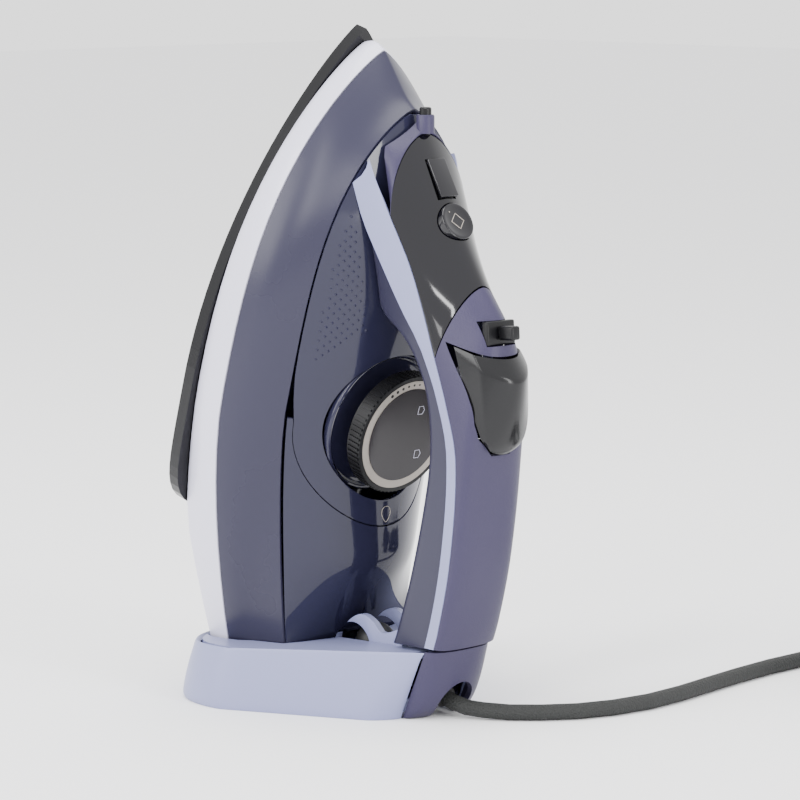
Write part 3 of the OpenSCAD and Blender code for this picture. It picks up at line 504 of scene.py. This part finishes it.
# %% The upper surface
TOP = [(50, 134), (60, 138), (80, 141), (110, 141), (139, 138), (165, 134), (190, 130), (204, 126),
       (216, 119), (228, 103), (248, 82), (277, 55), (290, 42)]
EDGE_U = [(40, 133), (71, 136), (79, 137), (115, 135), (158, 126), (180, 113), (198, 100), (213, 90),
          (229, 79), (247, 64), (269, 47), (290, 43)]
EDGE_W = [(40, 18), (198, 18), (213, 18.5), (229, 20), (247, 23), (269, 25.5), (290, 28)]
LOW_U = [(40, 127), (79, 131), (115, 129), (158, 120), (180, 107), (195, 94), (209, 80), (225, 67),
         (240, 56), (257, 45.5)]
LOW_W = [(40, 17.6), (195, 18), (209, 20.5), (225, 24), (240, 27.5), (257, 31.5)]
ROOF = [(40, 107), (79, 110), (100, 111), (130, 110), (150, 108), (165, 104), (180, 97), (190, 88),
        (198, 76)]


def flow(table, l):
    """A smooth curve through a table's points."""
    if l <= table[0][0]:
        return table[0][1]
    if l >= table[-1][0]:
        return table[-1][1]
    k = max(i for i in range(len(table) - 1) if table[i][0] <= l)

    def slope(i):
        a, b = max(0, i - 1), min(len(table) - 1, i + 1)
        return (table[b][1] - table[a][1]) / (table[b][0] - table[a][0])

    (x0, y0), (x1, y1) = table[k], table[k + 1]
    h = x1 - x0
    t = (l - x0) / h
    return (y0 * (1 + 2 * t) * (1 - t) ** 2 + slope(k) * h * t * (1 - t) ** 2
            + y1 * t * t * (3 - 2 * t) + slope(k + 1) * h * t * t * (t - 1))


def crest(s, t, inset=0, raise_by=0):
    """s is where the section meets the middle, t runs across it from -1 to 1."""
    slant = 32 * min(1, max(0, (s - 120) / 80))
    roundness = 2.6 if s < 190 else max(1.75, 2.6 - 0.85 * (s - 190) / 30)
    angle = math.radians(90 * abs(t))
    v, x = max(0, math.cos(angle)) ** (2 / roundness), math.sin(angle) ** (2 / roundness)
    l_back = s - slant
    edge, top = flow(EDGE_U, l_back), flow(TOP, s) - inset
    w = math.copysign(1, t) * (flow(EDGE_W, l_back) - inset) * x
    return (s - slant * (1 - v), w, edge + (top - edge) * v + raise_by)


def crest_row(s):
    return [iron(*crest(s, k / 10)) for k in range(-10, 11)]


HANDLE_REAR = on_level(32.1, 141)
PANEL_REAR, PANEL_FRONT = 227, 278
HANDLE_CORE = iron(130, 0, 110)
handle = skin("handle_top", [crest_row(s) for s in spread(HANDLE_REAR, PANEL_REAR - SEAM, 26)],
              inside=HANDLE_CORE)
panel = skin("panel_shell", [crest_row(s) for s in spread(PANEL_REAR, PANEL_FRONT, 12)],
             inside=iron(240, 0, 50))
print("upper surface", len(handle.data.polygons) + len(panel.data.polygons), "faces")

# %% [markdown]
# Openings are cut after the skin is smooth, so that their edges stay sharp. The cutters are simple solids: a
# block for the slider and the filling door, a round one for the button, an outline for the paddle.

# %% Openings
def block(name, matrix, low, high, bevel=0.0, segments=3):
    """A moulded block between two corners in millimetres, with rounded edges."""
    corners = [(x, y, z) for x in (low[0], high[0]) for y in (low[1], high[1]) for z in (low[2], high[2])]
    faces = [(0, 1, 3, 2), (4, 6, 7, 5), (0, 4, 5, 1), (2, 3, 7, 6), (0, 2, 6, 4), (1, 5, 7, 3)]
    obj = tidy_normals(mesh_object(name, [matrix @ (Vector(c) * MM) for c in corners], faces))
    if bevel:
        add_modifier(obj, "BEVEL", width=bevel * MM, segments=segments, limit_method="NONE")
        bpy.context.view_layer.update()
        bake_modifiers(obj, 50)
    return obj


def turned(name, profile, matrix, segments=96, sharp=35):
    """A part turned on a lathe: the profile is a list of (radius, height) in millimetres."""
    points, faces = [], []
    for r, z in profile:
        for k in range(segments):
            angle = 2 * math.pi * k / segments
            points.append(matrix @ (Vector((r * math.cos(angle), r * math.sin(angle), z)) * MM))
    for i in range(len(profile) - 1):
        for k in range(segments):
            n = (k + 1) % segments
            faces.append((i * segments + k, i * segments + n, (i + 1) * segments + n, (i + 1) * segments + k))
    faces.append(tuple(range(segments))[::-1])
    faces.append(tuple((len(profile) - 1) * segments + k for k in range(segments)))
    obj = tidy_normals(mesh_object(name, points, faces))
    obj.data.polygons.foreach_set("use_smooth", [True] * len(obj.data.polygons))
    obj.data.set_sharp_from_angle(angle=math.radians(sharp))
    return obj


BUTTON = placed(248, 0, 82, 45)
BUTTON_R = 8.5
DOOR = placed(263, 0, 68.5, 45)
DOOR_LEN, DOOR_HALF = 18, 5
SLIDER = placed(211, 0, 118, 20)
SLOT_HALF = 8.4
NOZZLE = placed(278, 0, 53.5, 106)
cut(panel, turned("cutter", [(BUTTON_R + 0.4, -8), (BUTTON_R + 0.4, 12)], BUTTON),
    block("cutter", DOOR, (-DOOR_LEN / 2 - 0.4, -DOOR_HALF - 0.4, -8),
          (DOOR_LEN / 2 + 0.4, DOOR_HALF + 0.4, 12)))
settle(panel, "control_panel")

# %% [markdown]
# The paddle is a thumb lever with a proud front lip. Its outline also gives the hole in the handle under it.

# %% Paddle and its opening
# l in the middle, l at the edge, half-width, u in the middle, u at the edge
PADDLE = [(162.5, 166, 9, 136, 134.5), (165, 169, 12.5, 137.3, 133.2), (172, 175, 14.5, 138, 130.3),
          (181, 184, 15.5, 138, 123), (190, 194, 16, 137, 116), (196, 200.5, 16, 136, 111.5),
          (199.5, 202, 16, 132, 110.5), (203, 203, 15.8, 127.8, 109.5)]


def paddle_row(line):
    l_mid, l_edge, wide, u_mid, u_edge = line
    row = []
    for k in range(-8, 9):
        t, a = k / 8, abs(k / 8)
        reach = a * 0.88 / 0.75 if a < 0.75 else 0.88 + 0.12 * (a - 0.75) / 0.25
        fall = 0.42 * (a / 0.75) ** 2 if a < 0.75 else 0.42 + 0.58 * (a - 0.75) / 0.25
        row.append(iron(l_mid + (l_edge - l_mid) * t * t, math.copysign(wide * reach, t),
                        u_mid - (u_mid - u_edge) * fall))
    return row


paddle = skin("thumb_paddle", [paddle_row(line) for line in PADDLE], wall=2,
              inside=iron(184, 0, 100), folds=(2, 14), lip=5)
settle(paddle, "steam_paddle")
side = [(line[1] + (0.4 if line[0] > 195 else 0), line[2] + 0.4) for line in PADDLE[:7]]
outline = [(162 - 0.4, 5.5)] + side + [(203.4, 16.4)]
outline += [(l, -w) for l, w in reversed(outline)]
well = [iron(l, w, u) for u in (100, 160) for l, w in outline]
count = len(outline)
well_faces = [(k, (k + 1) % count, count + (k + 1) % count, count + k) for k in range(count)]
well_faces += [tuple(range(count)), tuple(range(count, 2 * count))]
well_cutter = tidy_normals(mesh_object("cutter", well, well_faces))
cut(handle, well_cutter,
    block("cutter", SLIDER, (-5.4, -SLOT_HALF - 0.2, -20), (5.4, SLOT_HALF + 0.2, 20)))
settle(handle, "handle_shell")

# %% [markdown]
# Under the handle's top lie the finger side and the front column as one trough, and a pale stripe on each
# side covers the joint. The stripes run on over the deck and end in a point beside the nose.

# %% Trough and stripes
def meet_heel(l, u):
    """The handle ends level with the heel, so a lower point starts a little further back."""
    near = max(0, 1 - (l - HANDLE_REAR) / 40)
    return l - near * (HANDLE_REAR - on_level(32.1, u))


def trough_row(l):
    row = []
    for k in range(-10, 11):
        t = k / 10
        a = abs(t)
        reach = (flow(LOW_W, l) - 1.2) * min(1, a / 0.8)
        low = flow(ROOF, l) if l < 200 else deck_u(l, reach) + 0.4
        high = flow(LOW_U, l) - SEAM
        rise = max(0, (a - 0.8) / 0.2)
        bottom = low + 1.5 * max(0, min(1, (a - 0.5) / 0.3))
        u = bottom + (high - bottom) * rise
        row.append(iron(meet_heel(l, u), math.copysign(reach, t), u))
    return row


trough_ls = spread(HANDLE_REAR, 190, 14) + [194, 198, 202] + spread(208, 244, 5)
trough = skin("handle_trough", [trough_row(l) for l in trough_ls], crease=0.5, inside=iron(150, 0, 135))
settle(trough, "handle_lower")


def stripe_row(l, side_sign):
    row = []
    for f in (0.02, 0.35, 0.65, 0.98):
        end = l + f * 12 * max(0, l - 195) / 62
        low_w, low_u = flow(LOW_W, l), flow(LOW_U, l) - 2.5 * min(1, max(0, (l - 200) / 40), (255 - l) / 15)
        w = low_w + (flow(EDGE_W, end) - low_w) * f + SEAM
        u = low_u + (flow(EDGE_U, end) - low_u) * f
        row.append(iron(meet_heel(end, u), side_sign * w, u))
    return row


for name, node, side_sign in (("stripe_left", "trim_left", 1), ("stripe_right", "trim_right", -1)):
    stripe = skin(name, [stripe_row(l, side_sign) for l in spread(HANDLE_REAR + 1, 255, 30)],
                  wall=WALL - SEAM, inside=iron(150, 0, 120))
    settle(stripe, node)

# %% [markdown]
# The nose closes the front of the panel down to the deck, and carries the spray nozzle in a small tube.

# %% Nose and nozzle
def nose_front(t):
    a, sign = abs(t), math.copysign(1, t)
    l0 = 283 - 25 * min(a, 0.6) ** 1.4
    h0 = half(DECK, l0) - 2.2
    if a < 0.6:
        w = h0 * (a / 0.6) ** 0.8
        return Vector((l0, sign * w, deck_u(l0, w) + 1.8))
    f = (a - 0.6) / 0.4
    l1 = PANEL_FRONT - 32 + 3
    w = h0 + (flow(EDGE_W, l1) - 2.2 - h0) * f
    return Vector((l0 + (l1 - l0) * f, sign * w, (deck_u(l0, h0) + 1.8) * (1 - f) + flow(EDGE_U, l1) * f))


def nose_row(share):
    row = []
    for k in range(-12, 13):
        start, end = Vector(crest(PANEL_FRONT + SEAM, k / 12)), nose_front(k / 12)
        bulge = (1 - abs(k / 12)) * 3 * math.sin(math.pi * share)
        row.append(iron(*(start + (end - start) * share + Vector((0, 0, bulge)))))
    return row


nose = skin("nose_shell", [nose_row(f) for f in spread(0, 1, 6)], wall=1.4, inside=iron(255, 0, 40))
settle(nose, "nose_housing")
settle(turned("nozzle_tube", [(3.9, 0), (3.9, 7.4), (3.5, 8), (2.7, 8), (2.7, 1)], NOZZLE, 64), "nozzle_holder")
settle(turned("nozzle_tip", [(2.6, 1.2), (2.6, 10.6), (2.1, 11.2), (0.8, 11.2), (0.8, 6)], NOZZLE, 64),
       "spray_nozzle")

# %% [markdown]
# Small controls are where a model looks real or not: each has rounded edges, and the icon on the button is a
# thin raised line.

# %% Button, filling door and slider
dome = [(BUTTON_R - 0.01, -6), (BUTTON_R - 0.01, 0.4)]
dome += [(BUTTON_R - 0.6 + 0.6 * math.cos(a), 0.4 + 0.6 * math.sin(a)) for a in spread(0.3, 1.57, 4)]
dome += [(6.9, 0.95), (6.4, 0.7), (3, 0.55), (0.05, 0.5)]
settle(turned("spray_key", dome, BUTTON, 96, 30), "spray_button")
settle(block("filling_lid", DOOR, (-DOOR_LEN / 2, -DOOR_HALF, -0.6), (DOOR_LEN / 2, DOOR_HALF, 0.9), 0.4),
       "fill_door")
settle(block("slider_bed", SLIDER, (-5.2, -SLOT_HALF, -1), (5.2, SLOT_HALF, 2.4), 0.8), "slider_track")
settle(block("slider_knob", SLIDER, (-3, -2.6, 2.7), (3, 2.6, 11.2), 1.0), "steam_slider")


def raised_line(name, points, matrix, thick, body, slot, closed=True):
    """A thin raised line through points in millimetres, such as an icon."""
    data = bpy.data.curves.new(name, "CURVE")
    data.dimensions = "3D"
    data.bevel_depth = thick * MM
    data.bevel_resolution = 2
    line = data.splines.new("POLY")
    line.points.add(len(points) - 1)
    for spot, p in zip(line.points, points):
        spot.co = (*(matrix @ (Vector(p) * MM)), 1)
    line.use_cyclic_u = closed
    obj = bpy.data.objects.new(name, data)
    bpy.context.scene.collection.objects.link(obj)
    data.materials.append(MATERIALS[slot])
    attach(obj, body)
    return obj


raised_line("button_icon", [(-3.6, 0, 0.6), (0, 3.6, 0.6), (3.6, 0, 0.6), (0, -3.6, 0.6)], BUTTON, 0.22,
            "spray_button", "dial_silver")
raised_line("button_dot", [(-4.6, -3, 0.62), (-4.2, -3, 0.62)], BUTTON, 0.35, "spray_button", "dial_silver",
            False)
print("controls done")

# %% [markdown]
# The dial sits in a round bowl. Its knurled grip, ring and face are already turned to shape in the model, so
# they keep their solids and only get finishes; the bowl is turned again with a softer lip.

# %% Dial bowl and marks
DIAL = placed(DIAL_L, 0, 0)
lip = deck_u(DIAL_L, BOWL_R) + 4
bowl_profile = [(6.2, 58), (28.5, 58), (31, 59.2), (32, 62), (32, lip - 0.8), (31.6, lip - 0.2), (31, lip),
                (30.4, lip - 0.2), (30, lip - 0.8), (30, 63), (29, 60.9), (27.5, 60.4), (6.2, 60.4)]
settle(turned("dial_bowl_shell", bowl_profile, DIAL, 128), "dial_bowl")
DIAL_FACE = 79
for number, (angle, size) in enumerate([(a, 0.3 + 0.06 * i) for i, a in enumerate(range(150, 222, 8))]):
    turn = math.radians(angle)
    x, y = 23.3 * math.cos(turn), 23.3 * math.sin(turn)
    spot = turned(f"dial_dot_{number}", [(size, 0), (size, 0.08), (size * 0.6, 0.12)],
                  DIAL @ Matrix.Translation(Vector((x, y, DIAL_FACE - 0.92)) * MM), 20)
    spot.data.materials.append(MATERIALS["black_plastic"])
    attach(spot, "temperature_dial")
DISC_TOP = DIAL_FACE - 0.58
for number, (cx, cy) in enumerate([(10, 9), (-11, 6)]):
    shape = [(cx - 1.8, cy - 1.4, DISC_TOP), (cx + 1.8, cy - 1.4, DISC_TOP), (cx + 1.8, cy + 1.2, DISC_TOP),
             (cx, cy + 2.2, DISC_TOP), (cx - 1.8, cy + 1.2, DISC_TOP)]
    raised_line(f"dial_icon_{number}", shape, DIAL, 0.14, "temperature_dial", "pale_plastic")
drop = []
for k in range(24):
    angle = 2 * math.pi * k / 24
    l = DIAL_L - 38.6 - 3.4 * math.cos(angle)
    w = 2.9 * math.sin(angle) * (1 - 0.55 * math.cos(angle / 2) ** 4 if k else 0)
    drop.append((l, w))
drop_points = [iron(l, w, deck_u(l, w) + 0.1) / MM for l, w in drop]
raised_line("level_drop", drop_points, Matrix.Identity(4), 0.16, "iron", "dial_silver")

# %% [markdown]
# The heel is a tray with a flared foot, a ledge that meets the body, and a dark cap below the handle. The
# tray's level curves are rings round the footprint, so it is drawn upright.

# %% Heel
RIM_Z, RIM_CLIMB, HEEL_END = 25, 0.24, 146
CAP_HALF = 18


def heel_end(z):
    return HEEL_END - 14 * (1 - min(1, z / (RIM_Z * (1 + RIM_CLIMB))))


def heel_half(x):
    if x < 62:
        return 65 * max(0, 1 - ((62 - x) / 44) ** 3) ** 0.32
    return 65 - 0.52 * (x - 62)


def heel_row(z, inset, end):
    row = []
    for k in range(-30, 31):
        f = abs(k) / 30
        x = HEEL_FRONT + inset + (end - HEEL_FRONT - inset) * (1 - math.cos(math.pi * f)) / 2
        w = max(0.5, heel_half(max(HEEL_FRONT + 0.15, x - inset * 0.7)) - inset)
        r = (x - (end - 9)) / 9
        if w > CAP_HALF + 0.4 and r > 0:
            w = CAP_HALF + 0.4 + (w - CAP_HALF - 0.4) * math.sqrt(max(0, 1 - r * r))
        if k == 0:
            w = 0
        climb = 1 + RIM_CLIMB * (x - HEEL_FRONT) / (HEEL_END - HEEL_FRONT)
        row.append(upright(x, -w if k > 0 else w, z * climb))
    return row


# height, inset, and the height that sets where the row ends
TRAY_ROWS = ((0, 1, 0), (1.2, 0.2, 1.2), (3.5, 0.1, 3.5), (14, 2, 16), (22, 4.2, 26), (24.3, 4.8, 30),
             (25, 5.4, 31))
tray = skin("heel_tray_shell", [heel_row(z, inset, heel_end(end_z)) for z, inset, end_z in TRAY_ROWS],
            crease=0.6, inside=upright(80, 0, 10))
settle(tray, "heel_tray")
CAP_BACK = [(0, 138), (4, 145), (10, 149), (20, 152.5), (31.5, 154.5)]


def cap_row(z):
    start, end = heel_end(z) + SEAM, flow(CAP_BACK, z)
    row = []
    for k in range(-12, 13):
        angle = math.radians(90) * k / 12
        x = start + (end - start) * max(0, math.cos(angle)) ** 0.8
        row.append(upright(x, math.copysign(CAP_HALF * abs(math.sin(angle)) ** 0.8, k), z))
    return row


cap = skin("rear_cap_shell", [cap_row(z) for z in (0.3, 4, 10, 16, 22, 28, 31.5)], inside=upright(120, 0, 15))
cut(cap, turned("cutter", [(9.5, 0), (9.5, 80)], Matrix.Translation(upright(100, 0, 7))
                @ Matrix.Rotation(math.radians(90), 4, "Y")))
settle(cap, "rear_cap")

# %% [markdown]
# The arch holds the ball of the strain relief. A bevel softens its edges; the ball's hole and the flex's way
# out are cut before the bevel, so they get soft edges too.

# %% Arch and strain relief
def arch_curve():
    """The arch's top edge as a smooth line that stays under the model's straight facets."""
    top = ARCH[1:-1]
    return [(x, flow(top, x) - 0.3) for x in spread(top[0][0], top[-1][0] - 0.01, 40)]


BALL = upright(BALL_X, 0, 26)
RELIEF = Matrix.Translation(BALL) @ Matrix.Rotation(math.radians(90 + 22), 4, "Y")
ARCH_GAP = 15.6
arch_outline = [ARCH[0]] + [(x, max(3.3, z)) for x, z in arch_curve()] + [ARCH[-1]]
arch = tidy_normals(prism("cord_arch_block", arch_outline, -ARCH_HALF, ARCH_HALF))
cut(arch, turned("cutter", [(11, -20), (11, 20)], Matrix.Translation(upright(94, 0, 25))
                 @ Matrix.Rotation(math.radians(90), 4, "X")),
    block("cutter", Matrix.Translation(upright(0, 0, 6)), (0, -ARCH_GAP / 2, 0), (200, ARCH_GAP / 2, 60)))
add_modifier(arch, "BEVEL", width=0.0009, segments=3, limit_method="ANGLE", angle_limit=math.radians(50))
bpy.context.view_layer.update()
bake_modifiers(arch, 45)
settle(arch, "cord_arch")
ball_r = 9
relief_profile = [(ball_r * math.cos(a), ball_r * math.sin(a)) for a in spread(-1.55, 0.75, 20)]
relief_profile += [(6.5, 8)]
for k in range(5):
    z = 24 + 4.5 * k
    ridge = 6.8 - 0.2 * k
    relief_profile += [(6.1 - 0.2 * k, z - 0.4), (ridge - 0.2, z), (ridge, z + 0.3), (ridge, z + 1.6),
                       (ridge - 0.2, z + 2), (6.0 - 0.2 * k, z + 2.4)]
relief_profile += [(5.1, 47.4), (4.6, 48), (3.6, 48)]
settle(turned("relief_boot", relief_profile, RELIEF, 64), "strain_relief")

# %% [markdown]
# The tank cover has a field of small raised diamonds beside the stripe. They are one mesh made by a loop over
# a grid, with each diamond set on the dome.

# %% Diamonds on the cover
spots, spot_faces = [], []
for i in range(60):
    for j in range(-16, 17):
        l = 176 + 2.1 * i
        w = 4.2 * j + (2.1 if i % 2 else 0)
        limit = half(DECK, l) - 6
        if l > 262 or abs(w) > limit or abs(w) < flow(LOW_W, l) + 3 or math.hypot(l - DIAL_L, w) < 48:
            continue
        r = 0.75
        start = len(spots)
        for dl, dw in ((-r, 0), (0, r), (r, 0), (0, -r)):
            spots.append(iron(l + dl, w + dw, deck_u(l + dl, w + dw) - 0.05))
        spots.append(iron(l, w, deck_u(l, w) + 0.28))
        spot_faces += [(start + k, start + (k + 1) % 4, start + 4) for k in range(4)]
        spot_faces.append((start + 3, start + 2, start + 1, start))
diamonds = tidy_normals(mesh_object("cover_diamonds", spots, spot_faces))
diamonds.data.materials.append(MATERIALS["smoke_tank"])
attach(diamonds, "iron")
print("diamonds", len(spots) // 5)

# %% [markdown]
# What is left of the model keeps its solid and gets its finish by its material slot.

# %% Finishes for the solids that stay
for name, solid in frame["nodes"].items():
    solid.data.materials.clear()
    solid.data.materials.append(MATERIALS[SLOT_OF[name]])
print("solids with finishes", len(frame["nodes"]))

# %% [markdown]
# A pale sweep and large soft lights: one wide key from the camera's left, a strip on the right for the long
# highlight on the handle, and a bright surround that fades the shadows.

# %% Studio
floor_mesh = bpy.data.meshes.new("studio_floor")
floor_mesh.from_pydata([(-6, -6, 0), (6, -6, 0), (6, 6, 0), (-6, 6, 0)], [], [(0, 1, 2, 3)])
floor = bpy.data.objects.new("studio_floor", floor_mesh)
bpy.context.scene.collection.objects.link(floor)
floor_mesh.materials.append(finish("studio_white", (0.93, 0.93, 0.94), 0.9, vary=0.0, depth=0.0))
world = bpy.data.worlds.new("studio_world")
bpy.context.scene.world = world
world.use_nodes = True
world.node_tree.nodes["Background"].inputs["Color"].default_value = (1, 1, 1, 1)
world.node_tree.nodes["Background"].inputs["Strength"].default_value = 1.9


def soft_light(name, place, aim, wide, high, power):
    data = bpy.data.lights.new(name, "AREA")
    data.shape = "RECTANGLE"
    data.size, data.size_y, data.energy = wide, high, power
    obj = bpy.data.objects.new(name, data)
    bpy.context.scene.collection.objects.link(obj)
    obj.location = place
    obj.rotation_euler = (Vector(place) - Vector(aim)).to_track_quat("Z", "Y").to_euler()


soft_light("key", (-0.5, -1.6, 0.9), (0, 0, 0.15), 0.9, 1.2, 26)
soft_light("strip", (1.6, 0.1, 0.5), (0, 0, 0.15), 0.25, 1.2, 16)
soft_light("edge", (0.5, -1.5, 1.1), (0, 0, 0.2), 0.1, 1.0, 9)
soft_light("top", (0.1, -0.1, 1.7), (0, 0, 0.1), 1.0, 1.0, 22)
print("studio ready")
